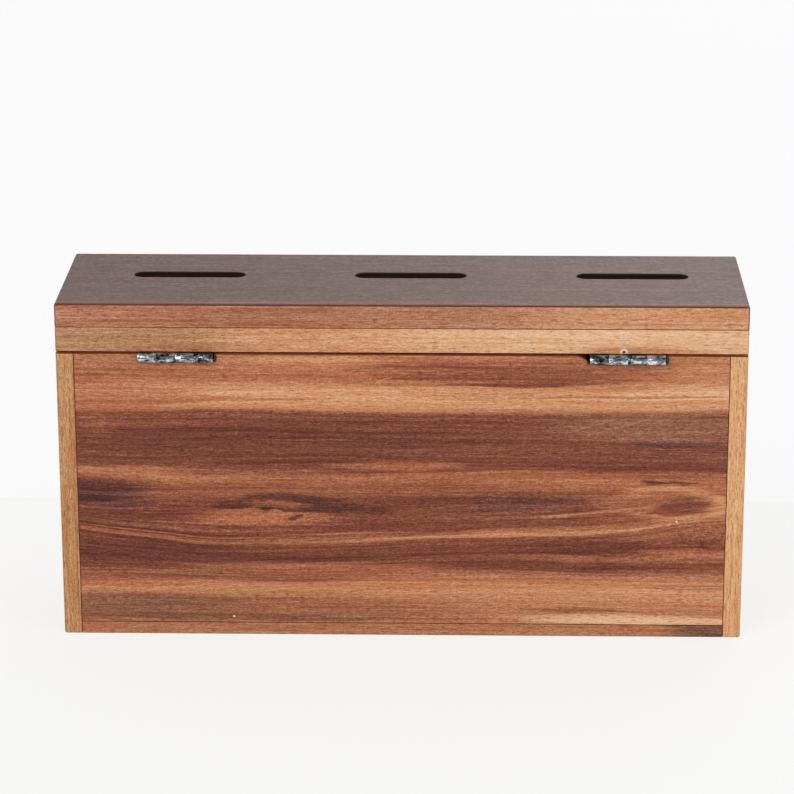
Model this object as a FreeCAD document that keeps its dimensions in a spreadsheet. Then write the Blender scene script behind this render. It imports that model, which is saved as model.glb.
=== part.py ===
"""Wooden coin box with three coin slots in a hinged lid, as a parametric document.

The box is five glued boards round three compartments. The lid is a slotted top board
on a frame of four rails, and swings on two small butt hinges let into the back board.

Frame: +Z up, the front faces -Y and the hinges are at the back, +Y. The origin is at
the middle of the base. Left and right are as seen from the front. Units: millimetres.
"""

import FreeCAD, Part
import math
import os

import Sketcher

# Driving dimensions: name, value, meaning.
SIZES = [
    ("box_width", 230.0, "outside of the box, along X"),
    ("box_depth", 64.0, "outside of the box, along Y"),
    ("body_height", 100.0, "base to the rim that the lid closes on"),
    ("lid_gap", 0.5, "open joint between the rim and the closed lid"),
    ("end_board", 6.0, "thickness of the end boards and the lid's end rails"),
    ("wall_board", 8.0, "thickness of the front and back boards and the long rails"),
    ("bottom_board", 4.5, "thickness of the bottom board"),
    ("divider_board", 8.0, "thickness of the dividers"),
    ("groove_depth", 2.0, "how far a divider is housed in the front and back boards"),
    ("groove_clearance", 0.1, "room round a divider in its groove"),
    ("top_board", 8.0, "thickness of the lid's top board"),
    ("rail_height", 8.5, "height of the lid's rails"),
    ("slot_length", 38.0, "coin slot, end to end"),
    ("slot_width", 7.0, "coin slot, across"),
    ("slot_setback", 27.0, "front face to the middle of the slots"),
    ("slot_shift", 2.5, "how far each slot sits left of the middle of its compartment"),
    ("arris_radius", 0.8, "rounding of the outside corners"),
    ("edge_ease", 0.2, "small bevel where boards meet, and round the slots"),
    ("hinge_length", 25.0, "hinge barrel, along X"),
    ("hinge_inset", 40.0, "end of the box to the middle of a hinge"),
    ("pin_diameter", 1.8, "hinge pin"),
    ("pin_clearance", 0.05, "running gap between pin and knuckle"),
    ("leaf_metal", 0.75, "thickness of the hinge leaf"),
    ("leaf_margin", 1.2, "wood left between the leaf and the inside of the wall"),
    ("leaf_corner", 1.0, "rounding of the leaf's corners"),
    ("knuckle_gap", 0.16, "end play between neighbouring knuckles"),
    ("barrel_offset", 1.0, "hinge axis behind the back face"),
    ("barrel_clearance", 0.3, "room between a knuckle and the other leaf's plate"),
    ("mortise_clearance", 0.4, "room round the leaf in the back board"),
    ("flare_length", 4.0, "sloping cut beside the left hinge, along the rim"),
    ("flare_depth", 2.0, "the same cut, down from the rim"),
    ("screw_diameter", 1.7, "shank of the hinge screws"),
    ("screw_cover", 2.75, "wood left past the point of a screw in the lid's rail"),
    ("screw_point", 1.6, "length of the screw's point"),
    ("screw_inset", 5.0, "end of the leaf to the nearest screw"),
    ("screw_clearance", 0.05, "room round a screw in the leaf and in the wood"),
    ("drive_slot", 0.5, "width of the screwdriver slot"),
    ("drive_depth", 0.3, "depth of the screwdriver slot"),
]

COMPARTMENTS = 3
KNUCKLES_PER_LEAF = 2

doc = FreeCAD.newDocument("CoinBox")
sheet = doc.addObject("Spreadsheet::Sheet", "Sizes")
for row, (alias, value, meaning) in enumerate(SIZES, start=1):
    sheet.set(f"A{row}", meaning)
    sheet.set(f"B{row}", str(value))
    sheet.setAlias(f"B{row}", alias)
doc.recompute()

# Lengths and places that several pieces share, as expressions of the driving dimensions.
INNER_WIDTH = "(Sizes.box_width - 2 * Sizes.end_board)"
INNER_DEPTH = "(Sizes.box_depth - 2 * Sizes.wall_board)"
WALL_HEIGHT = "(Sizes.body_height - Sizes.bottom_board)"
LID_UNDERSIDE = "(Sizes.body_height + Sizes.lid_gap)"
COMPARTMENT_PITCH = f"(({INNER_WIDTH} + Sizes.divider_board) / {COMPARTMENTS})"

BORE_RADIUS = "(Sizes.pin_diameter / 2 + Sizes.pin_clearance)"
BARREL_RADIUS = f"({BORE_RADIUS} + Sizes.leaf_metal)"
KNUCKLE_PITCH = f"(Sizes.hinge_length / {2 * KNUCKLES_PER_LEAF})"
HINGE_X = "(Sizes.box_width / 2 - Sizes.hinge_inset)"
AXIS_Y = "(Sizes.box_depth / 2 + Sizes.barrel_offset)"
AXIS_Z = f"({LID_UNDERSIDE} - {BARREL_RADIUS})"
PLATE_FACE = f"({BARREL_RADIUS} - Sizes.leaf_metal)"
PLATE_EDGE = f"({BARREL_RADIUS} + Sizes.barrel_clearance)"
LEAF_REACH = "(Sizes.barrel_offset + Sizes.wall_board - Sizes.leaf_margin)"
MORTISE_WIDTH = "(Sizes.hinge_length + 2 * Sizes.mortise_clearance)"
MORTISE_REACH = "(Sizes.wall_board - Sizes.leaf_margin + Sizes.mortise_clearance)"
MORTISE_DEPTH = f"(2 * {BARREL_RADIUS} - Sizes.lid_gap)"

SCREW_REACH = f"(({PLATE_EDGE} + {LEAF_REACH}) / 2)"
SCREW_PITCH = "(Sizes.hinge_length - 2 * Sizes.screw_inset)"
SCREW_IN_WOOD = "(Sizes.rail_height - Sizes.screw_cover)"
HEAD_RADIUS = "(Sizes.screw_diameter / 2 + Sizes.leaf_metal)"
PILOT_RADIUS = "(Sizes.screw_diameter / 2 + Sizes.screw_clearance)"
PILOT_DEPTH = f"({SCREW_IN_WOOD} + Sizes.screw_clearance)"
PILOT_Y = f"(Sizes.wall_board / 2 + Sizes.barrel_offset - {SCREW_REACH})"


def new_body(label, x="0", y="0", z="0", rotation=FreeCAD.Rotation()):
    """A body whose place in the box is bound to the sheet."""
    body = doc.addObject("PartDesign::Body", label)
    body.Label = label
    body.Placement = FreeCAD.Placement(FreeCAD.Vector(), rotation)
    for axis, expression in zip("xyz", (x, y, z)):
        body.setExpression(f"Placement.Base.{axis}", expression)
    return body


def origin_feature(body, role):
    return next(f for f in body.Origin.OriginFeatures if f.Role == role)


def new_sketch(body, name, plane="XY_Plane", x="0", y="0", z="0"):
    """A sketch on one of the body's origin planes, moved by bound offsets."""
    sketch = body.newObject("Sketcher::SketchObject", f"{body.Name}_{name}")
    sketch.AttachmentSupport = [(origin_feature(body, plane), "")]
    sketch.MapMode = "FlatFace"
    for axis, expression in zip("xyz", (x, y, z)):
        sketch.setExpression(f"AttachmentOffset.Base.{axis}", expression)
    return sketch


def bind(sketch, constraint, name, expression):
    """Adds a dimension to the sketch and binds it to the sheet."""
    index = sketch.addConstraint(constraint)
    sketch.renameConstraint(index, name)
    sketch.setExpression(f"Constraints.{name}", expression)


def draw_rectangle(sketch, width, height):
    """A rectangle centred on the sketch's origin."""
    corners = [FreeCAD.Vector(x, y, 0) for x, y in ((-1, -1), (1, -1), (1, 1), (-1, 1))]
    for i in range(4):
        sketch.addGeometry(Part.LineSegment(corners[i], corners[(i + 1) % 4]))
    for i in range(4):
        sketch.addConstraint(Sketcher.Constraint("Coincident", i, 2, (i + 1) % 4, 1))
    for side, direction in enumerate(("Horizontal", "Vertical", "Horizontal", "Vertical")):
        sketch.addConstraint(Sketcher.Constraint(direction, side))
    sketch.addConstraint(Sketcher.Constraint("Symmetric", 0, 1, 2, 1, -1, 1))
    bind(sketch, Sketcher.Constraint("DistanceX", 0, 1, 0, 2, 2.0), "across", width)
    bind(sketch, Sketcher.Constraint("DistanceY", 1, 1, 1, 2, 2.0), "along", height)


def draw_circle(sketch, radius):
    """A circle on the sketch's origin."""
    sketch.addGeometry(Part.Circle(FreeCAD.Vector(), FreeCAD.Vector(0, 0, 1), 1.0))
    sketch.addConstraint(Sketcher.Constraint("Coincident", 0, 3, -1, 1))
    bind(sketch, Sketcher.Constraint("Radius", 0, 1.0), "radius", radius)


def draw_circle_pair(sketch, radius, spacing):
    """Two circles, either side of the sketch's origin along X."""
    for x in (-2, 2):
        centre = FreeCAD.Vector(x, 0, 0)
        sketch.addGeometry(Part.Circle(centre, FreeCAD.Vector(0, 0, 1), 1.0))
    sketch.addConstraint(Sketcher.Constraint("Equal", 0, 1))
    sketch.addConstraint(Sketcher.Constraint("PointOnObject", 0, 3, -1))
    sketch.addConstraint(Sketcher.Constraint("Symmetric", 0, 3, 1, 3, -1, 1))
    bind(sketch, Sketcher.Constraint("Radius", 0, 1.0), "radius", radius)
    bind(sketch, Sketcher.Constraint("DistanceX", 0, 3, 1, 3, 4.0), "spacing", spacing)


def draw_slot(sketch, length, width):
    """A slot with round ends, centred on the sketch's origin and lying along X."""
    for side in (1, -1):
        circle = Part.Circle(FreeCAD.Vector(2 * side, 0, 0), FreeCAD.Vector(0, 0, 1), 1.0)
        start = -side * math.pi / 2
        sketch.addGeometry(Part.ArcOfCircle(circle, start, start + math.pi))
    for side in (1, -1):
        start = FreeCAD.Vector(2 * side, side, 0)
        end = FreeCAD.Vector(-2 * side, side, 0)
        sketch.addGeometry(Part.LineSegment(start, end))
    for first, second in ((0, 2), (2, 1), (1, 3), (3, 0)):
        sketch.addConstraint(Sketcher.Constraint("Tangent", first, 2, second, 1))
    sketch.addConstraint(Sketcher.Constraint("Equal", 0, 1))
    sketch.addConstraint(Sketcher.Constraint("Horizontal", 2))
    sketch.addConstraint(Sketcher.Constraint("Symmetric", 0, 3, 1, 3, -1, 1))
    bind(sketch, Sketcher.Constraint("Radius", 0, 1.0), "end_radius", f"{width} / 2")
    centres = Sketcher.Constraint("DistanceX", 1, 3, 0, 3, 4.0)
    bind(sketch, centres, "centres", f"{length} - {width}")


def draw_polygon(sketch, points):
    """A closed outline of corners given as pairs of lengths from the sketch's axes."""
    count = len(points)
    guess = [FreeCAD.Vector(x != "0", i * (y != "0"), 0) for i, (x, y) in enumerate(points)]
    for i in range(count):
        sketch.addGeometry(Part.LineSegment(guess[i], guess[(i + 1) % count]))
    for i in range(count):
        sketch.addConstraint(Sketcher.Constraint("Coincident", i, 2, (i + 1) % count, 1))
    for i, corner in enumerate(points):
        for kind, axis, length in zip(("DistanceX", "DistanceY"), (-2, -1), corner):
            if length == "0":
                sketch.addConstraint(Sketcher.Constraint("PointOnObject", i, 1, axis))
            else:
                constraint = Sketcher.Constraint(kind, -1, 1, i, 1, 1.0)
                bind(sketch, constraint, f"{kind}_{i}", length)


def pad(body, sketch, length, centred=False):
    feature = body.newObject("PartDesign::Pad", f"{sketch.Name}_pad")
    feature.Profile = sketch
    feature.setExpression("Length", length)
    if centred:
        feature.SideType = "Symmetric"
    doc.recompute()
    return feature


def pocket(body, sketch, depth=None, along_normal=False):
    """Cuts the sketch into the body to a depth, or right through, against its normal or along it."""
    before = body.Shape.Volume
    feature = body.newObject("PartDesign::Pocket", f"{sketch.Name}_pocket")
    feature.Profile = sketch
    feature.Reversed = along_normal
    if depth is None:
        feature.Type = "ThroughAll"
    else:
        feature.setExpression("Length", depth)
    doc.recompute()
    if not body.Shape.Volume < before:
        raise RuntimeError(f"{feature.Name} cuts nothing")
    return feature


def mirror(body, features):
    """Repeats the features on the other side of the body's YZ plane."""
    feature = body.newObject("PartDesign::Mirrored", f"{body.Name}_mirrored")
    feature.Originals = features
    feature.MirrorPlane = (origin_feature(body, "YZ_Plane"), [""])
    body.Tip = feature
    doc.recompute()
    return feature


def repeat(body, features, span, count):
    """Repeats the features along X, count in all over the span."""
    feature = body.newObject("PartDesign::LinearPattern", f"{body.Name}_repeated")
    feature.Originals = features
    feature.Direction = (origin_feature(body, "X_Axis"), [""])
    feature.setExpression("Length", span)
    feature.Occurrences = count
    body.Tip = feature
    doc.recompute()
    return feature


def edges_between(shape, pairs):
    """Names of the edges that lie on both outer faces of a pair, such as "+y-z"."""
    box = shape.BoundBox
    places = {"-": (box.XMin, box.YMin, box.ZMin), "+": (box.XMax, box.YMax, box.ZMax)}

    def lies_on(edge, face):
        sign, axis = face
        number = "xyz".index(axis)
        points = [edge.BoundBox.getPoint(corner) for corner in range(8)]
        return all(abs(point[number] - places[sign][number]) < 1e-4 for point in points)

    return [
        f"Edge{i}"
        for i, edge in enumerate(shape.Edges, start=1)
        if any(lies_on(edge, pair[:2]) and lies_on(edge, pair[2:]) for pair in pairs)
    ]


def round_edges(body, radius, *pairs):
    """Rounds the body's edges between the named pairs of outer faces."""
    base = body.Tip
    feature = body.newObject("PartDesign::Fillet", f"{body.Name}_fillet")
    feature.Base = (base, edges_between(base.Shape, pairs))
    feature.setExpression("Radius", radius)
    doc.recompute()
    return feature


def bevel(body, edges):
    """Takes a small bevel off the named edges."""
    base = body.Tip
    feature = body.newObject("PartDesign::Chamfer", f"{body.Name}_chamfer")
    feature.Base = (base, edges)
    feature.setExpression("Size", "Sizes.edge_ease")
    doc.recompute()
    return feature


def bevel_edges(body, *pairs):
    """Bevels the body's edges between the named pairs of outer faces."""
    return bevel(body, edges_between(body.Tip.Shape, pairs))


def board(label, length, depth, height, x="0", y="0", z="0"):
    """A plain board standing on the place given, centred on it in plan."""
    body = new_body(label, x, y, z)
    outline = new_sketch(body, "outline")
    draw_rectangle(outline, length, depth)
    pad(body, outline, height)
    return body


def bottom_board():
    """The bottom, between the end boards and under the walls."""
    body = board("bottom_board", INNER_WIDTH, "Sizes.box_depth", "Sizes.bottom_board")
    round_edges(body, "Sizes.arris_radius", "+y-z", "-y-z")
    bevel_edges(body, "+y+z", "-y+z", "+y-x", "+y+x", "-y-x", "-y+x")
    return body


def end_board(label, side):
    """An end board: side is -1 at the left of the box and 1 at the right."""
    place = f"{side} * (Sizes.box_width - Sizes.end_board) / 2"
    body = board(label, "Sizes.end_board", "Sizes.box_depth", "Sizes.body_height", x=place)
    outside, inside = ("+x", "-x") if side > 0 else ("-x", "+x")
    corners = (outside + "+y", outside + "-y", outside + "-z", "+y-z", "-y-z")
    round_edges(body, "Sizes.arris_radius", *corners)
    bevel_edges(body, inside + "+y", inside + "-y", outside + "+z", "+y+z", "-y+z")
    return body


def wall(label, face):
    """A front or back board: face is the sign of its outside along Y."""
    place = f"{face} * (Sizes.box_depth - Sizes.wall_board) / 2"
    thickness = "Sizes.wall_board"
    return board(label, INNER_WIDTH, thickness, WALL_HEIGHT, y=place, z="Sizes.bottom_board")


def divider_groove(body, face):
    """A divider's housing up the inside of a wall: face is the sign of that side along Y."""
    inside = f"{face} * Sizes.wall_board / 2"
    sketch = new_sketch(body, "groove", x=f"{COMPARTMENT_PITCH} / 2", y=inside)
    width = "Sizes.divider_board + 2 * Sizes.groove_clearance"
    draw_rectangle(sketch, width, "2 * Sizes.groove_depth")
    return pocket(body, sketch, along_normal=True)


def front_board():
    body = wall("front_board", -1)
    mirror(body, [divider_groove(body, 1)])
    bevel_edges(body, "-y-x", "-y+x", "-y-z", "-y+z")
    return body


def back_board():
    """The back, with a mortise and pilot holes for each hinge."""
    body = wall("back_board", 1)
    groove = divider_groove(body, -1)
    outside = "Sizes.wall_board / 2"
    mortise = new_sketch(body, "mortise", x=HINGE_X, y=outside, z=WALL_HEIGHT)
    draw_rectangle(mortise, MORTISE_WIDTH, f"2 * {MORTISE_REACH}")
    recess = pocket(body, mortise, MORTISE_DEPTH)
    floor = f"{WALL_HEIGHT} - {MORTISE_DEPTH}"
    pilots = new_sketch(body, "pilots", x=HINGE_X, y=PILOT_Y, z=floor)
    draw_circle_pair(pilots, PILOT_RADIUS, SCREW_PITCH)
    holes = pocket(body, pilots, PILOT_DEPTH)
    mirror(body, [groove, recess, holes])
    mortise_flare(body)
    bevel_edges(body, "+y-x", "+y+x", "+y-z", "+y+z")
    return body


def mortise_flare(body):
    """The sloping cut that runs down from the rim into the left hinge's mortise."""
    edge = f"{MORTISE_WIDTH} / 2 - {HINGE_X}"
    low = f"{WALL_HEIGHT} - Sizes.flare_depth"
    length, depth = "Sizes.flare_length", "Sizes.flare_depth"
    sketch = new_sketch(body, "flare", "XZ_Plane", edge, low, "-Sizes.wall_board / 2")
    draw_polygon(sketch, [("0", "0"), (length, depth), ("0", depth)])
    pocket(body, sketch, MORTISE_REACH, along_normal=True)


def divider(label, side):
    """A divider: side is -1 for the left one and 1 for the right one."""
    place = f"{side} * {COMPARTMENT_PITCH} / 2"
    reach = f"{INNER_DEPTH} + 2 * (Sizes.groove_depth - Sizes.groove_clearance)"
    thickness = "Sizes.divider_board"
    body = board(label, thickness, reach, WALL_HEIGHT, x=place, z="Sizes.bottom_board")
    bevel_edges(body, "+x+z", "-x+z")
    return body


def lid_top_board():
    """The lid's top, with a coin slot over each compartment."""
    underside = f"{LID_UNDERSIDE} + Sizes.rail_height"
    thickness = "Sizes.top_board"
    body = board("lid_top_board", "Sizes.box_width", "Sizes.box_depth", thickness, z=underside)
    span = f"{COMPARTMENTS - 1} * {COMPARTMENT_PITCH}"
    first = f"-{span} / 2 - Sizes.slot_shift"
    row = "Sizes.slot_setback - Sizes.box_depth / 2"
    sketch = new_sketch(body, "slot", x=first, y=row, z=thickness)
    draw_slot(sketch, "Sizes.slot_length", "Sizes.slot_width")
    repeat(body, [pocket(body, sketch)], span, COMPARTMENTS)
    upright = ("-x-y", "-x+y", "+x-y", "+x+y")
    upper = ("-x+z", "+x+z", "-y+z", "+y+z")
    outline = edges_between(body.Shape, upper)
    bevel(body, [edge for edge in edges_between(body.Shape, ["+z+z"]) if edge not in outline])
    round_edges(body, "Sizes.arris_radius", *upright, *upper)
    bevel_edges(body, "-x-z", "+x-z", "-y-z", "+y-z")
    return body


def long_rail(label, face):
    """A front or back rail of the lid, full width: face is the sign of its outside along Y."""
    place = f"{face} * (Sizes.box_depth - Sizes.wall_board) / 2"
    length, depth, height = "Sizes.box_width", "Sizes.wall_board", "Sizes.rail_height"
    return board(label, length, depth, height, y=place, z=LID_UNDERSIDE)


def lid_front_rail():
    body = long_rail("lid_front_rail", -1)
    round_edges(body, "Sizes.arris_radius", "-x-y", "+x-y")
    bevel_edges(body, "-y+z", "-y-z", "-x+z", "-x-z", "+x+z", "+x-z")
    return body


def lid_back_rail():
    """The back rail, with pilot holes for the hinge screws in its underside."""
    body = long_rail("lid_back_rail", 1)
    pilots = new_sketch(body, "pilots", x=HINGE_X, y=PILOT_Y)
    draw_circle_pair(pilots, PILOT_RADIUS, SCREW_PITCH)
    mirror(body, [pocket(body, pilots, PILOT_DEPTH, along_normal=True)])
    round_edges(body, "Sizes.arris_radius", "-x+y", "+x+y")
    bevel_edges(body, "+y+z", "+y-z", "-x+z", "-x-z", "+x+z", "+x-z")
    return body


def lid_end_rail(label, side):
    """A short rail between the long ones: side is -1 at the left and 1 at the right."""
    place = f"{side} * (Sizes.box_width - Sizes.end_board) / 2"
    thickness, height = "Sizes.end_board", "Sizes.rail_height"
    body = board(label, thickness, INNER_DEPTH, height, x=place, z=LID_UNDERSIDE)
    outside = "+x" if side > 0 else "-x"
    bevel_edges(body, outside + "+z", outside + "-z", outside + "+y", outside + "-y")
    return body


# A leaf, its screws and the pin are drawn about the hinge axis, with the lid's leaf on top.
# The box's leaf is the same stamping turned over, so its knuckles fill the other places.
FACE_UP = FreeCAD.Rotation()
TURNED_OVER = FreeCAD.Rotation(FreeCAD.Vector(0, 1, 0), 180)


def hinge_body(label, side, rotation=FACE_UP):
    return new_body(label, f"{side} * {HINGE_X}", AXIS_Y, AXIS_Z, rotation)


def hinge_leaf(label, side, rotation):
    """A stamped leaf: a plate tangent to the barrel, rolled into every other knuckle."""
    body = hinge_body(label, side, rotation)
    roll = new_sketch(body, "roll", "YZ_Plane")
    draw_circle(roll, BARREL_RADIUS)
    pad(body, roll, "Sizes.hinge_length", centred=True)
    plate = new_sketch(body, "plate", y=f"-{LEAF_REACH} / 2", z=PLATE_FACE)
    draw_rectangle(plate, "Sizes.hinge_length", LEAF_REACH)
    pad(body, plate, "Sizes.leaf_metal")
    bore = new_sketch(body, "bore", "YZ_Plane", z="-Sizes.hinge_length / 2")
    draw_circle(bore, BORE_RADIUS)
    pocket(body, bore, along_normal=True)
    cut_windows(body)
    holes = new_sketch(body, "screw_holes", y=f"-{SCREW_REACH}", z=PLATE_FACE)
    draw_circle_pair(holes, PILOT_RADIUS, SCREW_PITCH)
    countersink(body, holes)
    round_edges(body, "Sizes.leaf_corner", "-y-x", "-y+x")
    return body


def cut_windows(body):
    """Cuts away the barrel where the other leaf's knuckles go."""
    first = f"1.5 * {KNUCKLE_PITCH} - Sizes.hinge_length / 2"
    window = new_sketch(body, "window", x=first, z=f"-{BARREL_RADIUS}")
    draw_rectangle(window, f"{KNUCKLE_PITCH} + Sizes.knuckle_gap", f"2 * {PLATE_EDGE}")
    cut = pocket(body, window, along_normal=True)
    repeat(body, [cut], f"{2 * (KNUCKLES_PER_LEAF - 1)} * {KNUCKLE_PITCH}", KNUCKLES_PER_LEAF)


def countersink(body, sketch):
    """Screw holes through the leaf, with a right-angled countersink on its inner face."""
    hole = body.newObject("PartDesign::Hole", f"{body.Name}_countersink")
    hole.Profile = sketch
    doc.recompute()
    hole.Reversed = True
    hole.DepthType = "ThroughAll"
    hole.setExpression("Diameter", f"2 * {PILOT_RADIUS}")
    hole.HoleCutType = "Countersink"
    hole.HoleCutCustomValues = True
    hole.HoleCutCountersinkAngle = 90.0
    hole.setExpression("HoleCutDiameter", f"2 * ({PILOT_RADIUS} + Sizes.leaf_metal)")
    doc.recompute()


def hinge_pin(label, side):
    body = hinge_body(label, side)
    section = new_sketch(body, "section", "YZ_Plane")
    draw_circle(section, "Sizes.pin_diameter / 2")
    pad(body, section, "Sizes.hinge_length", centred=True)
    return body


def leaf_screws(label, side, rotation):
    """The two slotted screws of a leaf, with their heads flush with its inner face."""
    body = hinge_body(label, side, rotation)
    x = f"{SCREW_PITCH} / 2"
    turned = new_sketch(body, "turned", "XZ_Plane", x, PLATE_FACE, SCREW_REACH)
    shank, tip = "Sizes.screw_diameter / 2", f"Sizes.leaf_metal + {SCREW_IN_WOOD}"
    neck, shoulder = "Sizes.leaf_metal", f"{tip} - Sizes.screw_point"
    draw_polygon(turned, [("0", "0"), (HEAD_RADIUS, "0"), (shank, neck), (shank, shoulder), ("0", tip)])
    turning = body.newObject("PartDesign::Revolution", f"{body.Name}_turning")
    turning.Profile = turned
    turning.ReferenceAxis = (turned, ["V_Axis"])
    turning.Angle = 360.0
    doc.recompute()
    drive = new_sketch(body, "drive", x=x, y=f"-{SCREW_REACH}", z=PLATE_FACE)
    draw_rectangle(drive, "Sizes.drive_slot", f"3 * {HEAD_RADIUS}")
    mirror(body, [turning, pocket(body, drive, "Sizes.drive_depth", along_normal=True)])
    return body


def hinge(name, side):
    """The nodes of one hinge: two leaves, the pin and the screws of each leaf."""
    return [
        hinge_leaf(f"{name}_hinge_lid_leaf", side, FACE_UP),
        hinge_leaf(f"{name}_hinge_box_leaf", side, TURNED_OVER),
        hinge_pin(f"{name}_hinge_pin", side),
        leaf_screws(f"{name}_hinge_lid_screws", side, FACE_UP),
        leaf_screws(f"{name}_hinge_box_screws", side, TURNED_OVER),
    ]


subparts = [
    bottom_board(),
    end_board("left_end_board", -1),
    end_board("right_end_board", 1),
    front_board(),
    back_board(),
    divider("left_divider", -1),
    divider("right_divider", 1),
    lid_top_board(),
    lid_front_rail(),
    lid_back_rail(),
    lid_end_rail("lid_left_rail", -1),
    lid_end_rail("lid_right_rail", 1),
    *hinge("left", -1),
    *hinge("right", 1),
]
doc.recompute()

for item in doc.Objects:
    if "Invalid" in item.State or "Error" in item.State:
        raise RuntimeError(f"{item.Label} failed: {item.State}")
for body in subparts:
    if body.Shape.isNull() or not body.Shape.isValid():
        raise RuntimeError(f"{body.Label} has no valid shape")

os.makedirs("parts", exist_ok=True)
for body in subparts:
    body.Shape.exportStep(f"parts/{body.Label}.step")
    solids, volume = len(body.Shape.Solids), body.Shape.Volume
    print(f"{body.Label}: {solids} solid(s), {volume:.1f} mm3")
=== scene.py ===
# %% [markdown]
# # An acacia coin box
#
# The real thing is a small box of oiled acacia: five boards round three compartments, a lid
# with three coin slots, and two zinc-plated butt hinges at the back. Its boards, hinges and
# screws come ready made from a CAD model, in metres, each as an object of its own. This
# lesson gives them their finish, and a camera, a floor and light to be seen by.
# Nothing is moved, so the lid still opens as it was drawn.

# %% Load the boards and hinges
from math import radians

import bpy
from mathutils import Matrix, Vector

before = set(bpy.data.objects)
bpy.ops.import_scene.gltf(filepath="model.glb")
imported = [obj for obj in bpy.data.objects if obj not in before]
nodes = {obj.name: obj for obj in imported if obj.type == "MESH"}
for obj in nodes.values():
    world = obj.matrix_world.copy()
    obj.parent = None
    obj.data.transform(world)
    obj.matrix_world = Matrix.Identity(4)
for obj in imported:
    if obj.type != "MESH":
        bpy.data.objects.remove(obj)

scene = bpy.context.scene
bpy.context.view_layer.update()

# %% [markdown]
# ## Camera
#
# A long lens from a metre away, a little above the box, looks squarely at the hinges. It could
# be aimed with a constraint, but three plain angles are easier to read and to repeat. The
# small tilt is there because the box stands a hair crooked in its picture.

# %% Camera
MM = 0.001
FOCAL_LENGTH = 149.85
CAMERA_PLACE = Vector((-23.3, 1079.9, 419.0)) * MM
CAMERA_ANGLES = (72.34, 0.10, 181.32)

lens = bpy.data.cameras.new("camera")
lens.lens = FOCAL_LENGTH
camera = bpy.data.objects.new("camera", lens)
camera.location = CAMERA_PLACE
camera.rotation_euler = [radians(angle) for angle in CAMERA_ANGLES]
scene.collection.objects.link(camera)
scene.camera = camera
scene.view_settings.view_transform = "Standard"
print("camera", round(camera.location.length, 3), "m from the middle of the base")

# %% [markdown]
# ## Nodes and colours
#
# A material is a small network of nodes. Each one could be made in four or five lines, but
# then the pattern is lost among them, so one helper makes a node, sets its options and links
# what feeds it. Colours are written as sRGB hex values, as a colour picker shows them, while
# the shaders count in linear light, so a second helper turns one into the other.

# %% Helpers for nodes and colours
def add(tree, kind, inputs=None, **options):
    """Adds a node: inputs are values, nodes or sockets for its sockets, by name or number."""
    made = tree.nodes.new("ShaderNode" + kind)
    for name, value in options.items():
        setattr(made, name, value)
    sockets = [socket for socket in made.inputs if socket.enabled]
    for key, value in (inputs or {}).items():
        named = [socket for socket in sockets if socket.name == key]
        socket = named[0] if named else sockets[key]
        if isinstance(value, bpy.types.Node):
            value = next(output for output in value.outputs if output.enabled)
        if isinstance(value, bpy.types.NodeSocket):
            tree.links.new(value, socket)
        else:
            socket.default_value = value
    return made


def linear(colour):
    """An sRGB hex colour as linear red, green, blue and full opacity."""
    parts = [int(colour[i:i + 2], 16) / 255 for i in (1, 3, 5)]
    light = [p / 12.92 if p <= 0.04045 else ((p + 0.055) / 1.055) ** 2.4 for p in parts]
    return (*light, 1.0)


def new_tree(name):
    """A material with an empty network, and its output."""
    material = bpy.data.materials.new(name)
    material.use_nodes = True
    material.node_tree.nodes.clear()
    return material, material.node_tree, add(material.node_tree, "OutputMaterial")


print("mid grey is", round(linear("#808080")[0], 3), "in linear light")

# %% [markdown]
# ## Floor
#
# The box stands on a white table. A curved backdrop could be modelled, as a studio has, but a
# single large square is enough here.

# %% Floor
FLOOR_REACH = 3.0

sides = ((-1, -1), (1, -1), (1, 1), (-1, 1))
corners = [(x * FLOOR_REACH, y * FLOOR_REACH, 0) for x, y in sides]
floor_mesh = bpy.data.meshes.new("floor")
floor_mesh.from_pydata(corners, [], [(0, 1, 2, 3)])
floor = bpy.data.objects.new("floor", floor_mesh)
scene.collection.objects.link(floor)
print("floor", 2 * FLOOR_REACH, "m square")

# %% [markdown]
# ## White paper
#
# The table is covered with matt white paper. Pressed fibres scatter light evenly, so the eye
# sees no gloss, and the roughness is 0.9. Strong lamps could burn the paper out, but they would
# bleach the wood too. Instead the Light Path node shows the camera, and mirror reflections, a
# plain white, while other rays meet ordinary paper. A share of the ordinary paper is kept in
# view, so the box still has its soft shadow to stand on. Past the table's edge begins the wall,
# a touch whiter.

# %% White paper
TABLE_EDGE = -107 * MM
SHADOW_SHARE = 0.2
PAPER_ROUGHNESS = 0.9


def seen_directly(tree):
    """1 for rays from the camera or a reflection, and 0 for the rays that light the box."""
    path = add(tree, "LightPath")
    camera_ray, glossy_ray, clear_ray = (
        path.outputs[f"Is {kind} Ray"] for kind in ("Camera", "Glossy", "Transmission"))
    either = add(tree, "Math", {0: camera_ray, 1: glossy_ray}, operation="MAXIMUM")
    return add(tree, "Math", {0: either, 1: clear_ray}, operation="MAXIMUM")


paper, tree, output = new_tree("white_paper")
place = add(tree, "SeparateXYZ", {0: add(tree, "TexCoord").outputs["Object"]})
beyond = add(tree, "Math", {0: place.outputs["Y"], 1: TABLE_EDGE}, operation="LESS_THAN")
white = add(tree, "Mix", {0: beyond, "A": linear("#FCFCFB"), "B": linear("#FFFFFF")},
            data_type="RGBA")
sheet = add(tree, "BsdfPrincipled", {"Base Color": white, "Roughness": PAPER_ROUGHNESS})
glow = add(tree, "Emission", {"Color": white})
share = add(tree, "Math", {0: seen_directly(tree), 1: 1 - SHADOW_SHARE}, operation="MULTIPLY")
shown = add(tree, "MixShader", {0: share, 1: sheet, 2: glow})
tree.links.new(shown.outputs[0], output.inputs[0])
floor_mesh.materials.append(paper)
print(paper.name, "keeps", SHADOW_SHARE, "of the shadow in view")

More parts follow.
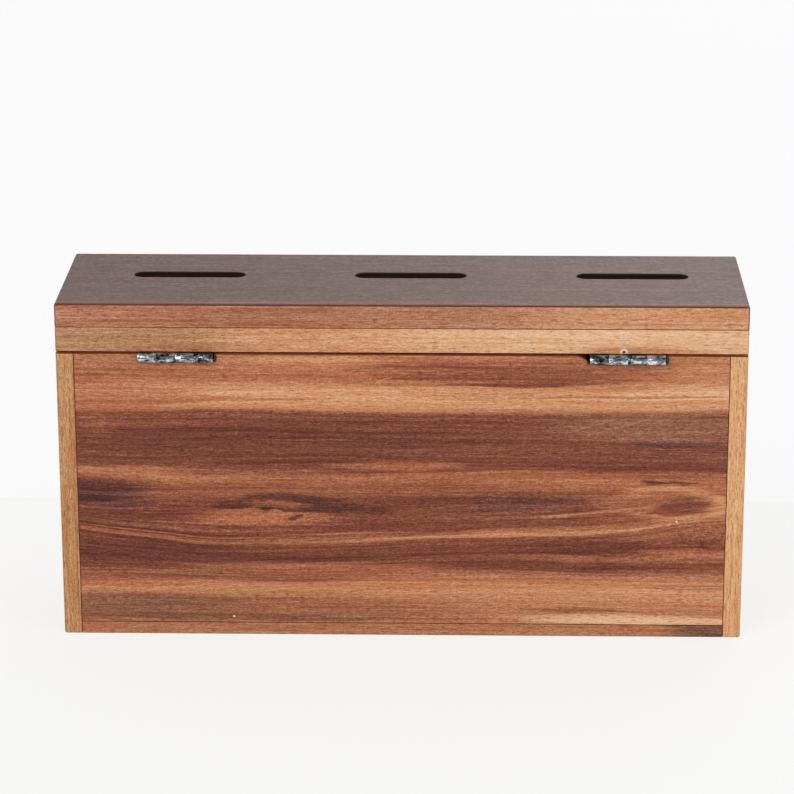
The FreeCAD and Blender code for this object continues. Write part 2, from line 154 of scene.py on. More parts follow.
# %% [markdown]
# ## White walls
#
# A product table is lit by large soft boxes and by what the white walls send back. The walls
# could be built as planes, but the world's even glow does the same with less. The wall behind
# the box is white in reflections too, while the room on the camera's side is dim, and that is
# what keeps the wood rich and puts dark shapes in the metal.

# %% White walls
WALL_LIGHT = 0.55
ROOM_LIGHT = 0.12
WALL_ENDS, ROOM_STARTS = -0.2, 0.5

world = bpy.data.worlds.new("white_walls")
world.use_nodes = True
scene.world = world
tree = world.node_tree
tree.nodes.clear()
path = add(tree, "LightPath")
towards = add(tree, "SeparateXYZ", {0: add(tree, "TexCoord").outputs["Generated"]})
mirrored = add(tree, "MapRange", {
    0: towards.outputs["Y"], 1: WALL_ENDS, 2: ROOM_STARTS, 3: 1.0, 4: ROOM_LIGHT})
unseen = add(tree, "Mix", {0: path.outputs["Is Glossy Ray"], "A": WALL_LIGHT, "B": mirrored})
seen = add(tree, "Math", {
    0: path.outputs["Is Camera Ray"], 1: path.outputs["Is Transmission Ray"]}, operation="MAXIMUM")
strength = add(tree, "Mix", {0: seen, "A": unseen, "B": 1.0})
walls = add(tree, "Background", {"Color": linear("#FCFCFC"), "Strength": strength})
tree.links.new(walls.outputs[0], add(tree, "OutputWorld").inputs[0])
print(world.name, "at", WALL_LIGHT, "and a dim room at", ROOM_LIGHT)

# %% [markdown]
# ## Soft boxes
#
# Area lamps stand in for the soft boxes: a broad one high beside the camera, a weaker one on
# its other side and one behind. Point lamps would be simpler, but they give hard shadows and
# pin-prick highlights on the hinges.

# %% Soft boxes
LAMP_SIDE = 1.0
LAMP_TARGET = Vector((0, 0, 0.06))


def soft_box(name, place, power):
    """A square lamp that faces the middle of the box, with its place in metres."""
    lamp = bpy.data.lights.new(name, "AREA")
    lamp.size = LAMP_SIDE
    lamp.energy = power
    holder = bpy.data.objects.new(name, lamp)
    holder.location = place
    facing = LAMP_TARGET - holder.location
    holder.rotation_euler = facing.to_track_quat("-Z", "Y").to_euler()
    scene.collection.objects.link(holder)
    print(name, power, "W")


soft_box("soft_box_key", (0.9, 1.5, 1.1), 13)
soft_box("soft_box_fill", (-1.2, 1.1, 0.8), 6)
soft_box("soft_box_back", (-0.5, -1.6, 1.2), 6.5)

# %% [markdown]
# ## Acacia: where the grain runs
#
# Acacia is a hard brown wood with broad stripes: reddish heartwood, honey-coloured sapwood and
# dark, almost purple streaks. Sanded and oiled, it is smooth with a satin sheen, and open pores
# show as short dark dashes along the grain. Each board could be given a flat picture of wood,
# but its edges would not match its faces. A solid pattern is cut by every face of the board, as
# the growth rings of a real plank are. The first step is a space for it: millimetres along the
# grain, across the stripes and through the board.

# %% Grain space and streaks
NOISE_LOW, NOISE_HIGH = 0.25, 0.75


def grain_space(tree, along, across, source="Object", scale=1 / MM):
    """A place on the board as millimetres along the grain, across the stripes and through."""
    place = add(tree, "TexCoord").outputs[source]
    scaled = add(tree, "VectorMath", {0: place, "Scale": scale}, operation="SCALE")
    split = add(tree, "SeparateXYZ", {0: scaled})
    through = (set("XYZ") - {along, across}).pop()
    axes = (along, across, through)
    return add(tree, "CombineXYZ", {i: split.outputs[axis] for i, axis in enumerate(axes)})


def streaks(tree, space, length, width, seed, detail=2.0):
    """Noise from -1 to 1, drawn out into streaks of this length and width in millimetres."""
    pitch = (1 / length, 1 / width, 1 / width)
    start = (seed, 3 * seed, 7 * seed)
    drawn = add(tree, "VectorMath", {0: space, 1: pitch, 2: start}, operation="MULTIPLY_ADD")
    noise = add(tree, "TexNoise", {"Vector": drawn, "Scale": 1.0, "Detail": detail})
    return add(tree, "MapRange", {0: noise, 1: NOISE_LOW, 2: NOISE_HIGH, 3: -1.0, 4: 1.0})


def shifted(tree, space, *parts):
    """The grain space moved along and across the grain: parts are patterns with their reach."""
    for pattern, along, across in parts:
        reach = (along, across, 0)
        move = add(tree, "VectorMath", {0: reach, "Scale": pattern}, operation="SCALE")
        space = add(tree, "VectorMath", {0: space, 1: move}, operation="ADD")
    return space


print("streaks are set by their length and width in millimetres")

# %% [markdown]
# ## Acacia: tones and stripes
#
# Acacia's colour runs from pale sapwood through honey and russet to a heartwood that is almost
# purple. Each tone has a name here, so that a board can be described in words. The stripes are
# layers of growth, cut lengthwise. Noise alone could draw them, but then no board would have
# stripes of its own, so they are a colour ramp across the board.

# %% Tones and stripes
TONES = {
    "chalk": "#F2E8DD",
    "bone": "#E2B389",
    "straw": "#D8A26E",
    "cream": "#D19566",
    "honey": "#C58457",
    "gold": "#BB8656",
    "tan": "#AE7A51",
    "clay": "#AE7150",
    "amber": "#B16A42",
    "russet": "#985533",
    "rose": "#935B40",
    "olive": "#82553B",
    "moss": "#4E3420",
    "heart": "#7A3820",
    "brick": "#73331A",
    "umber": "#632610",
    "cocoa": "#502719",
    "walnut": "#4C2B20",
    "plum": "#502A26",
    "sable": "#561E0C",
    "soot": "#40120A",
    "char": "#1A0C05",
}


def stripes(tree, space, bands):
    """The board's stripes: bands are pairs of a place across the board and a tone."""
    low, high = bands[0][0], bands[-1][0]
    across = add(tree, "SeparateXYZ", {0: space}).outputs["Y"]
    share = add(tree, "MapRange", {0: across, 1: low, 2: high})
    ramp = add(tree, "ValToRGB", {0: share})
    elements = ramp.color_ramp.elements
    while len(elements) < len(bands):
        elements.new(0.5)
    for element, (place, tone) in zip(elements, bands):
        element.position = (place - low) / (high - low)
        element.color = linear(TONES[tone])
    return ramp


print(len(TONES), "tones of acacia, from", TONES["chalk"], "to", TONES["char"])

# %% [markdown]
# ## Acacia: ovals and loops
#
# Dark spindles and pale patches are where the saw met a bulge in a layer of growth, and a loop
# is a layer cut through its top. A picture could hold all this, but a short list of soft ovals
# and loops in named tones is easy to read, and can be moved about. The grain's own streaks fray
# each shape, so that none looks drawn.

# %% Ovals and loops
FIGURE_EDGE = 0.6


def shrunk(tree, space, along, across, length, width):
    """The grain space measured from the middle of an oval, in half lengths and half widths."""
    shrink = (1 / length, 1 / width, 0)
    middle = (-along / length, -across / width, 0)
    return add(tree, "VectorMath", {0: space, 1: shrink, 2: middle}, operation="MULTIPLY_ADD")


def oval(tree, space, *place):
    """1 in the middle of a soft oval, and 0 from its rim out."""
    reach = add(tree, "VectorMath", {0: shrunk(tree, space, *place)}, operation="LENGTH")
    return add(tree, "Math", {0: 1.0, 1: reach.outputs["Value"]}, operation="SUBTRACT",
               use_clamp=True)


def loop(tree, space, along, across, length, width, line):
    """1 on the line round an oval, and 0 from half the line's width out."""
    from_middle = shrunk(tree, space, along, across, length, width)
    reach = add(tree, "VectorMath", {0: from_middle}, operation="LENGTH")
    off = add(tree, "Math", {0: reach.outputs["Value"], 1: 1.0}, operation="SUBTRACT")
    off = add(tree, "Math", {0: off}, operation="ABSOLUTE")
    return add(tree, "MapRange", {0: off, 1: 0.0, 2: line / width, 3: 1.0, 4: 0.0})


def figure(tree, colour, space, wisps, shapes):
    """Lays shapes over a colour, each a function, its measures, a tone and a strength."""
    for shape, *measures, tone, strength in shapes:
        drawn = shape(tree, space, *measures)
        broken = add(tree, "Math", {0: drawn, 1: wisps}, operation="MULTIPLY")
        cover = add(tree, "MapRange", {0: broken, 1: 0.0, 2: FIGURE_EDGE, 3: 0.0, 4: strength},
                    interpolation_type="SMOOTHSTEP")
        colour = add(tree, "Mix", {0: cover, "A": colour, "B": linear(TONES[tone])},
                     data_type="RGBA")
    return colour


print("shapes for the figure:", oval.__name__, "and", loop.__name__)

# %% [markdown]
# ## Acacia: drawn lines and swept grain
#
# Some layers of growth show as one long thin line, and on the back the whole grain sweeps along
# such a line. More noise could bend the stripes, but not to a chosen place. A float curve
# through a few points gives the height of a line along the board, and with it a thin stroke, or
# a shift that lays the stripes along the line.

# %% Drawn lines and swept grain
LEAST_RISE = 0.001
TAPER_STARTS = 0.25


def height_above(tree, space, path):
    """Millimetres above a line drawn through a few points, and the share of its length."""
    first, last = path[0][0], path[-1][0]
    heights = [height for along, height in path]
    low, high = min(heights), max(heights) + LEAST_RISE
    split = add(tree, "SeparateXYZ", {0: space})
    share = add(tree, "MapRange", {0: split.outputs["X"], 1: first, 2: last})
    drawn = add(tree, "FloatCurve", {"Value": share})
    curve = drawn.mapping.curves[0].points
    places = [((along - first) / (last - first), (height - low) / (high - low))
              for along, height in path]
    curve[0].location, curve[-1].location = places[0], places[-1]
    for place in places[1:-1]:
        curve.new(*place)
    drawn.mapping.update()
    line = add(tree, "MapRange", {0: drawn, 3: low, 4: high})
    return add(tree, "Math", {0: split.outputs["Y"], 1: line}, operation="SUBTRACT"), share


def drawn_line(tree, space, path, half_width):
    """1 on a drawn line, and 0 from half its width out and past its ends."""
    above, share = height_above(tree, space, path)
    off = add(tree, "Math", {0: above}, operation="ABSOLUTE")
    near = add(tree, "MapRange", {0: off, 1: 0.0, 2: half_width, 3: 1.0, 4: 0.0})
    from_middle = add(tree, "Math", {0: share, 1: 0.5}, operation="SUBTRACT")
    from_middle = add(tree, "Math", {0: from_middle}, operation="ABSOLUTE")
    taper = add(tree, "MapRange", {0: from_middle, 1: TAPER_STARTS, 2: 0.5, 3: 1.0, 4: 0.0})
    return add(tree, "Math", {0: near, 1: taper}, operation="MULTIPLY")


def swept(tree, space, path, level, reach):
    """The grain space with its stripes swept along a drawn line, which comes to lie level."""
    above = height_above(tree, space, path)[0]
    across = add(tree, "SeparateXYZ", {0: space}).outputs["Y"]
    off = add(tree, "Math", {0: above}, operation="ABSOLUTE")
    near = add(tree, "MapRange", {0: off, 1: 0.0, 2: reach, 3: 1.0, 4: 0.0},
               interpolation_type="SMOOTHSTEP")
    fall = add(tree, "Math", {0: above, 1: across}, operation="SUBTRACT")
    fall = add(tree, "Math", {0: fall, 1: level}, operation="ADD")
    move = add(tree, "Math", {0: fall, 1: near}, operation="MULTIPLY")
    return shifted(tree, space, (move, 0, 1.0))


print("lines taper from", TAPER_STARTS, "of their length before each end")

# %% [markdown]
# ## Acacia: rings, fibres and pores
#
# Over the stripes and the figure come growth rings, fibres and pores, each a finer set of
# streaks that makes the wood under it deeper or paler, never grey. Mixing in black would be
# simpler, but the Gamma node raises a colour to a power, and that keeps the wood's hue. Real
# pores are about 0.1 mm wide and a few millimetres long, and the scratches of fine sanding are
# thinner still. At this distance that is a third of a pixel or less, so pores, filled vessels
# and grit are drawn 0.25 to 0.35 mm wide.

# %% Rings, fibres and pores
BASE_DEPTH = 0.93
DEPTHS = {
    "broad": 0.1, "lines": 0.13, "rings": 0.22, "fibres": 0.15, "grit": 0.24, "pores": 0.4,
}
VESSEL_COVER = 0.55


def grain_patterns(tree, space, seed):
    """The streaks of one board's grain, each with its length and width in millimetres."""
    rings = streaks(tree, space, 110, 0.9, seed + 3, detail=1.0)
    pores = streaks(tree, space, 2.5, 0.25, seed + 6, detail=0.0)
    return {
        "broad": streaks(tree, space, 150, 4.0, seed + 8),
        "lines": streaks(tree, space, 45, 1.2, seed + 2, detail=3.0),
        "rings": add(tree, "MapRange", {0: rings, 1: 0.1, 2: 0.8}),
        "fibres": streaks(tree, space, 9, 0.5, seed + 4),
        "grit": streaks(tree, space, 0.7, 0.35, seed + 5, detail=1.0),
        "pores": add(tree, "MapRange", {0: pores, 1: 0.3, 2: 0.9}),
        "vessels": streaks(tree, space, 3.2, 0.32, seed + 9, detail=0.0),
        "breaks": streaks(tree, space, 60, 1.0, seed + 7),
    }


def grained(tree, colour, grain):
    """Deepens a colour along rings, fibres and pores, and fills the widest vessels."""
    depth = BASE_DEPTH
    for name, share in DEPTHS.items():
        depth = add(tree, "Math", {0: grain[name], 1: share, 2: depth}, operation="MULTIPLY_ADD")
    colour = add(tree, "Gamma", {"Color": colour, "Gamma": depth})
    filled = add(tree, "MapRange", {
        0: grain["vessels"], 1: 0.65, 2: 1.0, 3: 0.0, 4: VESSEL_COVER})
    return add(tree, "Mix", {0: filled, "A": colour, "B": linear(TONES["heart"])},
               data_type="RGBA")


print("the grain deepens a colour by", len(DEPTHS), "patterns:", *DEPTHS)

# %% [markdown]
# ## Acacia: cut ends, dust and painted sheen
#
# Where the saw cut across the grain, the open ends of the fibres soak up oil and go darker, and
# an upward face gets a pale haze of specks, partly dust and partly painted sheen. Both could be
# painted by hand, but the direction of a face says where they belong. The specks are as fine as
# dust, and are drawn about a millimetre long so that they show.

# %% Cut ends, dust and painted sheen
END_GRAIN_SOAK = 0.35
SPECK_LENGTH, SPECK_WIDTH = 1.6, 0.8


def soaked_ends(tree, colour, normal):
    """Darkens the faces that were cut across the grain."""
    facing = add(tree, "VectorMath", {0: normal}, operation="ABSOLUTE")
    end_on = add(tree, "SeparateXYZ", {0: facing}).outputs["X"]
    soaked = add(tree, "MapRange", {0: end_on, 1: 0.6, 2: 0.9, 3: 0.0, 4: END_GRAIN_SOAK})
    return add(tree, "Mix", {0: soaked, "A": colour, "B": linear(TONES["umber"])},
               data_type="RGBA")


def dust_and_sheen_haze(tree, colour, board, normal, worn, seed):
    """Lays pale specks of dust and painted sheen over the upper face of a level board."""
    specks = streaks(tree, board, SPECK_LENGTH, SPECK_WIDTH, seed)
    dust_and_sheen = add(tree, "MapRange", {0: specks, 1: 0.0, 2: 1.0, 3: 0.0, 4: worn})
    upward = add(tree, "SeparateXYZ", {0: normal}).outputs["Z"]
    dust_and_sheen = add(tree, "Math", {0: dust_and_sheen, 1: upward}, operation="MULTIPLY", use_clamp=True)
    return add(tree, "Mix", {0: dust_and_sheen, "A": colour, "B": linear(TONES["chalk"])},
               data_type="RGBA")


# the pale specks on upward faces are dust and painted sheen
print("end grain is mixed with", TONES["umber"], "and worn oil with", TONES["chalk"])

# %% [markdown]
# ## Acacia: scorched cuts, seams and painted shade
#
# A blunt cutter has scorched the walls of the slots, and the boards meet in thin dark lines that
# are partly glue and dust and partly painted shade in the grooves between them. The same strips
# paint shade into the gap under the lid and along the lid's top edges. Thin pieces of their own
# could stand for the lines, but they would have to move with their boards. The material darkens a
# strip at a given place instead.

# %% Scorched cuts, seams and painted shade
UPRIGHT_WITHIN = 0.5
FACE_ON = 0.9


def cut_walls(tree, board, normal, middle, half_width, half_length):
    """1 on the upright walls of cuts that lie in a strip along the board."""
    place = add(tree, "SeparateXYZ", {0: board})
    facing = add(tree, "SeparateXYZ", {0: normal})
    upright = add(tree, "Math", {0: facing.outputs["Z"], 1: 0.0, 2: UPRIGHT_WITHIN},
                  operation="COMPARE")
    near = add(tree, "Math", {0: place.outputs["Y"], 1: middle, 2: half_width},
               operation="COMPARE")
    inside = add(tree, "Math", {0: place.outputs["X"], 1: 0.0, 2: half_length},
                 operation="COMPARE")
    cover = add(tree, "Math", {0: upright, 1: near}, operation="MULTIPLY")
    return add(tree, "Math", {0: cover, 1: inside}, operation="MULTIPLY")


def lined_seams_and_shade(tree, colour, seams_and_shade):
    """Darkens edges where parts meet, partly as painted shade: an axis, a place on it, half a width
    and a tone.
    """
    coordinates = add(tree, "TexCoord")
    place = add(tree, "SeparateXYZ", {0: coordinates.outputs["Object"]})
    facing = add(tree, "VectorMath", {0: coordinates.outputs["Normal"]}, operation="ABSOLUTE")
    facing = add(tree, "SeparateXYZ", {0: facing})
    for axis, at, half_width, tone in seams_and_shade:
        near = add(tree, "Math", {0: place.outputs[axis], 1: at * MM, 2: half_width * MM},
                   operation="COMPARE")
        side_on = add(tree, "Math", {0: facing.outputs[axis], 1: FACE_ON}, operation="LESS_THAN")
        cover = add(tree, "Math", {0: near, 1: side_on}, operation="MULTIPLY")
        colour = add(tree, "Mix", {0: cover, "A": colour, "B": linear(TONES[tone])},
                     data_type="RGBA")
    return colour


print("cuts are scorched to", TONES["char"])

# %% [markdown]
# ## Acacia: one board's material
#
# A board's material puts all this together, from the broad stripes to the finest grain. The
# finish is hardened oil, so the index of refraction is that of oil, 1.47, with a roughness of
# about one half: the eye sees a broad soft sheen and no sharp gloss. A clear coat over the wood
# would be another way, but thin oil soaks in and leaves no film, so one surface is truer.

# %% Oiled acacia
OIL_IOR = 1.47
OIL_ROUGHNESS = (0.42, 0.58)
SCORCHED_ROUGHNESS = 0.95
PORE_DEPTH = 0.1 * MM
PORE_RELIEF = 0.3


def oiled_acacia(name, along, across, bands, shapes=(), sweeps=(), swept_shapes=(), marks=(),
                 seams_and_shade=(), slots=None, worn=0.0, seed=0):
    """Sanded and oiled acacia for one board, with its grain and stripes along the named axes."""
    material, tree, output = new_tree("oiled_acacia_" + name)
    board = grain_space(tree, along, across)
    wavy = shifted(tree, board, (streaks(tree, board, 130, 26, seed), 0, 1.0),
                   (streaks(tree, board, 35, 6, seed + 1), 0, 0.4))
    grown = wavy
    for sweep in sweeps:
        grown = swept(tree, grown, *sweep)
    grain = grain_patterns(tree, grown, seed)

    frayed = (grain["lines"], 0, 0.9), (grain["breaks"], 5, 0)
    barely = (grain["lines"], 0, 0.3),
    wisps = add(tree, "Math", {0: grain["lines"], 1: 0.6, 2: 1.0}, operation="MULTIPLY_ADD")
    colour = stripes(tree, shifted(tree, grown, *frayed), bands)
    colour = figure(tree, colour, shifted(tree, wavy, *frayed), wisps, shapes)
    colour = figure(tree, colour, shifted(tree, grown, *barely), wisps, swept_shapes)
    colour = grained(tree, colour, grain)
    colour = figure(tree, colour, board, 1.0, marks)

    normal = grain_space(tree, along, across, "Normal", 1.0)
    colour = soaked_ends(tree, colour, normal)
    # worn sets how strongly dust and painted sheen speckle the upward faces
    if worn:
        colour = dust_and_sheen_haze(tree, colour, board, normal, worn, seed + 10)
    colour = lined_seams_and_shade(tree, colour, seams_and_shade)
    smooth, rough = OIL_ROUGHNESS
    roughness = add(tree, "MapRange", {
        0: grain["fibres"], 1: -1.0, 2: 1.0, 3: smooth, 4: rough})
    if slots:
        scorched = cut_walls(tree, board, normal, *slots)
        colour = add(tree, "Mix", {0: scorched, "A": colour, "B": linear(TONES["char"])},
                     data_type="RGBA")
        roughness = add(tree, "Mix", {0: scorched, "A": roughness, "B": SCORCHED_ROUGHNESS})

    relief = add(tree, "Math", {0: grain["pores"], 1: -1.0, 2: grain["fibres"]},
                 operation="MULTIPLY_ADD")
    bump = add(tree, "Bump", {"Strength": PORE_RELIEF, "Distance": PORE_DEPTH, "Height": relief})
    shader = add(tree, "BsdfPrincipled", {
        "Base Color": colour, "Roughness": roughness, "IOR": OIL_IOR, "Normal": bump})
    tree.links.new(shader.outputs[0], output.inputs[0])
    return material


def finish(material, *names):
    """Puts a material on the named CAD pieces."""
    for name in names:
        nodes[name].material_slots[0].material = material
    print(material.name, "with", len(material.node_tree.nodes), "nodes on", *names)


print("hardened oil has an index of refraction of", OIL_IOR)

# %% [markdown]
# ## Back board
#
# The back is the board with the strongest figure, sawn close to the heart of the tree. From the
# rim down: a reddish strip, a pale stripe of sapwood, a broad band of heartwood, an orange
# stripe, a row of dark spindles lying end to end, then more heartwood, and pale and greyish
# stripes along the foot. Under the spindles the grain sweeps down to the middle and up again in
# one long curve. The stripes could be bent with more noise, but a drawn line keeps the curve
# where it belongs. Heights are in millimetres above the base, and +X lies to the left as the
# camera sees it.

# %% Back board: stripes
BACK_BANDS = [
    (4.5, "amber"), (13.0, "amber"), (16.0, "honey"), (19.5, "honey"), (20.9, "amber"),
    (22.6, "russet"), (27.0, "heart"), (35.6, "heart"), (36.6, "russet"), (38.0, "russet"),
    (39.5, "heart"), (48.0, "heart"), (50.5, "russet"), (55.0, "russet"), (56.5, "amber"),
    (57.5, "amber"), (58.1, "russet"), (59.4, "heart"), (79.0, "heart"), (80.0, "russet"),
    (81.3, "honey"), (83.0, "cream"), (87.3, "cream"), (89.0, "honey"), (91.0, "amber"),
    (100.0, "amber"),
]
LONG_CURVE = [
    (-115, 43.0), (-100, 41.5), (-89, 40.0), (-71, 37.6), (-50, 36.2), (-20, 35.8), (0, 34.6),
    (40, 32.7), (58, 32.4), (80, 34.3), (115, 39.5),
]
ORANGE_STRIPE = [
    (-115, 57.0), (-20, 57.4), (0, 57.0), (30, 56.4), (60, 56.6), (90, 58.2), (115, 60.0),
]
BACK_SWEEPS = [(LONG_CURVE, 37.0, 16.0), (ORANGE_STRIPE, 57.0, 7.0)]
print(len(BACK_BANDS), "places across the back, swept along", len(BACK_SWEEPS), "lines")

# %% [markdown]
# ## Back board: foot
#
# Along the foot the wood runs from greyish on the left to pale sapwood on the right, with a few
# reddish wisps over it. Noise could mottle it, but not in the right places. Each line of the
# list is one oval: its middle along the board and above the base, half its length and half its
# width, all in millimetres, then its tone and how strongly it covers.

# %% Back board: foot
FOOT_SHAPES = [
    (oval, 60, 9.6, 110, 7.4, "olive", 0.4),
    (oval, 110, 10.0, 70, 7.6, "olive", 0.65),
    (oval, 50, 5.8, 86, 1.7, "moss", 0.5),
    (oval, -95, 14.0, 110, 13.0, "cream", 0.35),
    (oval, -82, 6.0, 58, 2.2, "bone", 1.0),
    (oval, -60, 9.2, 26, 1.3, "russet", 0.9),
    (oval, 85, 23.0, 78, 4.6, "russet", 1.0),
    (oval, 8, 24.4, 60, 2.0, "amber", 0.7),
    (oval, 90, 29.5, 60, 6.5, "umber", 0.8),
    (oval, -110, 30.2, 60, 2.2, "amber", 0.9),
    (oval, -55, 24.8, 60, 2.0, "heart", 0.9),
    (oval, -78, 25.3, 30, 1.3, "umber", 0.8),
    (oval, -75, 28.4, 62, 2.0, "russet", 1.0),
    (oval, 97, 24.6, 36, 2.2, "heart", 1.0),
    (oval, 56, 21.0, 50, 2.2, "russet", 1.0),
    (oval, 60, 21.2, 40, 2.0, "heart", 0.5),
    (oval, 33, 27.0, 40, 1.8, "umber", 0.7),
    (oval, -62, 30.4, 36, 1.4, "umber", 0.7),
    (oval, 94, 18.4, 50, 2.4, "amber", 1.0),
    (oval, -102, 18.6, 30, 1.8, "amber", 0.6),
    (oval, -104, 38.0, 50, 5.5, "russet", 1.0),
    (oval, -62, 33.0, 36, 2.2, "umber", 0.7),
    (oval, -103, 34.5, 12, 1.0, "umber", 0.8),
]
print(len(FOOT_SHAPES), "shapes along the foot")

# %% [markdown]
# ## Back board: spindles
#
# Half-way up, dark spindles lie end to end, where the saw met the bulges of one dark layer of
# growth, and at the right end a pale layer goes round one of them as a loop. They could be a
# row of equal ovals, but real ones differ in size and tone, so each has a line of its own.

# %% Back board: spindles
SPINDLE_SHAPES = [
    (oval, -62, 55.0, 50, 3.4, "amber", 0.9),
    (oval, -104, 48.5, 36, 11.0, "amber", 0.85),
    (loop, -90, 47.4, 17, 5.4, 1.5, "honey", 0.9),
    (oval, -108, 46.5, 6, 4.5, "cream", 0.9),
    (oval, -72, 47.4, 16, 4.4, "russet", 0.9),
    (oval, 100, 58.8, 40, 2.3, "amber", 0.9),
    (oval, 107, 52.0, 34, 7.0, "umber", 1.0),
    (oval, 104, 49.6, 14, 1.9, "soot", 0.9),
    (oval, 97, 51.4, 13, 1.6, "plum", 1.2),
    (oval, 91, 46.8, 10, 1.4, "plum", 1.0),
    (oval, 47, 43.0, 31, 4.4, "amber", 0.9),
    (oval, 52, 43.0, 14, 1.6, "honey", 0.3),
    (oval, 32, 47.6, 40, 2.6, "heart", 0.9),
    (oval, 30, 48.2, 15, 2.2, "sable", 1.0),
    (oval, 58, 47.2, 9, 1.5, "sable", 1.0),
    (oval, 40, 47.2, 12, 0.8, "russet", 0.9),
    (oval, 37, 42.6, 2.4, 1.4, "sable", 1.0),
    (oval, 0, 48.6, 34, 2.2, "umber", 0.5),
    (oval, -42, 44.0, 42, 3.4, "russet", 0.8),
    (oval, -30, 47.2, 52, 4.6, "umber", 0.55),
    (oval, -42, 47.2, 27, 5.4, "plum", 0.45),
    (oval, -62, 51.4, 22, 1.6, "russet", 0.7),
    (oval, -74, 41.6, 17, 2.4, "russet", 0.8),
    (oval, -60, 44.8, 20, 1.6, "umber", 0.6),
    (oval, 0, 44.8, 22, 1.6, "russet", 0.6),
    (oval, -83, 54.7, 6.5, 1.2, "sable", 1.0),
    (oval, -92, 54.8, 6, 1.1, "sable", 0.8),
]
print(len(SPINDLE_SHAPES), "shapes in the row of spindles")

# %% [markdown]
# ## Back board: heartwood and rim
#
# The upper half is a broad, quiet band of heartwood, then a pale stripe of sapwood and a reddish
# strip at the rim. The stripes alone would leave it looking like flat paint, so wide, weak ovals
# vary the band and narrow ones break up the pale stripe. The oval under the right-hand hinge is
# partly darker grain and partly the painted shadow of its barrel, and the last oval is painted
# shade along the rim, under the lid.

# %% Back board: heartwood and rim
RIM_SHAPES = [
    (oval, -97, 69.8, 26, 2.2, "plum", 0.7),
    (oval, -60, 65.0, 70, 5.0, "brick", 0.6),
    (oval, 30, 69.0, 85, 11.0, "brick", 0.8),
    (oval, 28, 70.4, 56, 1.3, "umber", 0.9),
    (oval, 102, 75.0, 9, 5.0, "russet", 0.6),
    (oval, -85, 75.5, 50, 6.0, "rose", 1.0),
    (oval, 98, 85.0, 46, 6.4, "amber", 0.9),
    (oval, -97, 86.4, 34, 3.6, "bone", 0.7),
    (oval, -97, 82.6, 34, 2.0, "cream", 0.6),
    (oval, 0, 60.6, 30, 2.4, "amber", 0.7),
    (oval, 31, 57.0, 30, 1.6, "russet", 0.8),
    (oval, -95, 57.6, 24, 1.6, "russet", 0.9),
    (oval, -30, 86.6, 34, 3.0, "honey", 0.9),
    (oval, 55, 84.6, 40, 0.8, "amber", 0.8),
    (oval, -75, 85.8, 45, 0.7, "amber", 0.8),
    (oval, 100, 95.0, 40, 4.0, "russet", 0.5),
    (oval, -34, 94.2, 52, 5.2, "heart", 0.65),
    (oval, -45, 90.8, 44, 1.8, "heart", 0.8),
    (oval, 5, 95.0, 28, 2.0, "russet", 0.9),
    (oval, 30, 91.2, 34, 1.6, "amber", 1.0),
    (oval, -106, 94.5, 24, 7.0, "honey", 0.7),
    # partly darker grain and partly the painted shadow of the hinge barrel above it
    (oval, -76, 96.2, 17, 3.2, "russet", 1.0),
    (oval, 30, 98.0, 34, 4.0, "honey", 0.9),
    # painted shade along the rim, just under the lid
    (oval, 0, 100.4, 130, 1.4, "russet", 0.7),
]
print(len(RIM_SHAPES), "shapes from the heartwood up to the rim")

# %% [markdown]
# ## Back board: fine lines
#
# Under the spindles, thin dark and pale lines follow the long curve, and one spindle has a dark
# line along its top, like the brow of an eye. Each could be drawn as a curve, but ovals in the
# swept grain bend with it by themselves. Only the lines round the spindles are drawn through
# points.

# %% Back board: fine lines
EYE_BROW = [
    (0, 46.0), (10, 46.3), (20, 47.4), (32, 49.2), (42, 49.9), (49, 49.5), (56, 47.6), (64, 46.8),
]
EYE_LID = [(16, 45.9), (28, 45.7), (38, 45.5), (44, 46.1), (50, 45.5)]
INNER_LINE = [(-106, 46.0), (-95, 45.8), (-83, 45.2), (-70, 44.3), (-55, 43.3), (-38, 42.5)]
BACK_SWEPT = [
    *((oval, 85, 38.4 + 1.15 * i, 62, 0.45, "umber", 0.7) for i in range(3)),
    *((oval, 108, 41.9 + 1.15 * i, 40, 0.45, "umber", 0.7) for i in range(4)),
    *((oval, 70 - 8 * i, 39.0 + 1.7 * i, 50, 0.4, "amber", 0.6) for i in range(3)),
    (oval, 95, 35.6, 40, 1.2, "umber", 0.7),
    (oval, -48, 38.4, 50, 1.8, "amber", 0.6),
    (oval, -35, 37.0, 92, 0.9, "honey", 1.0),
    (oval, 70, 37.0, 60, 0.5, "amber", 0.8),
    (drawn_line, INNER_LINE, 0.8, "honey", 0.7),
    (oval, -95, 45.0, 12.5, 5.8, "heart", 1.0),
    (oval, 16, 39.4, 30, 0.5, "amber", 0.8),
    (drawn_line, EYE_BROW, 1.7, "sable", 0.8),
    (drawn_line, EYE_LID, 0.5, "soot", 0.8),
    (oval, 45.6, 46.0, 3, 0.8, "soot", 1.0),
]
print(len(BACK_SWEPT), "fine lines in the swept grain")

# %% [markdown]
# ## Back board: marks, seams and finish
#
# A used box has a few pale scratches and a chip or two, and painted shade darkens the gaps at the
# ends of its hinges. They could be cut into the board, but they are hardly deeper than the oil.
# They lie over the grain, so they are drawn last, in the board's own millimetres. The seams are
# where the back meets the ends, the bottom and the lid: dark joints that are partly painted shade
# in their grooves, and painted shade in the gap under the lid.

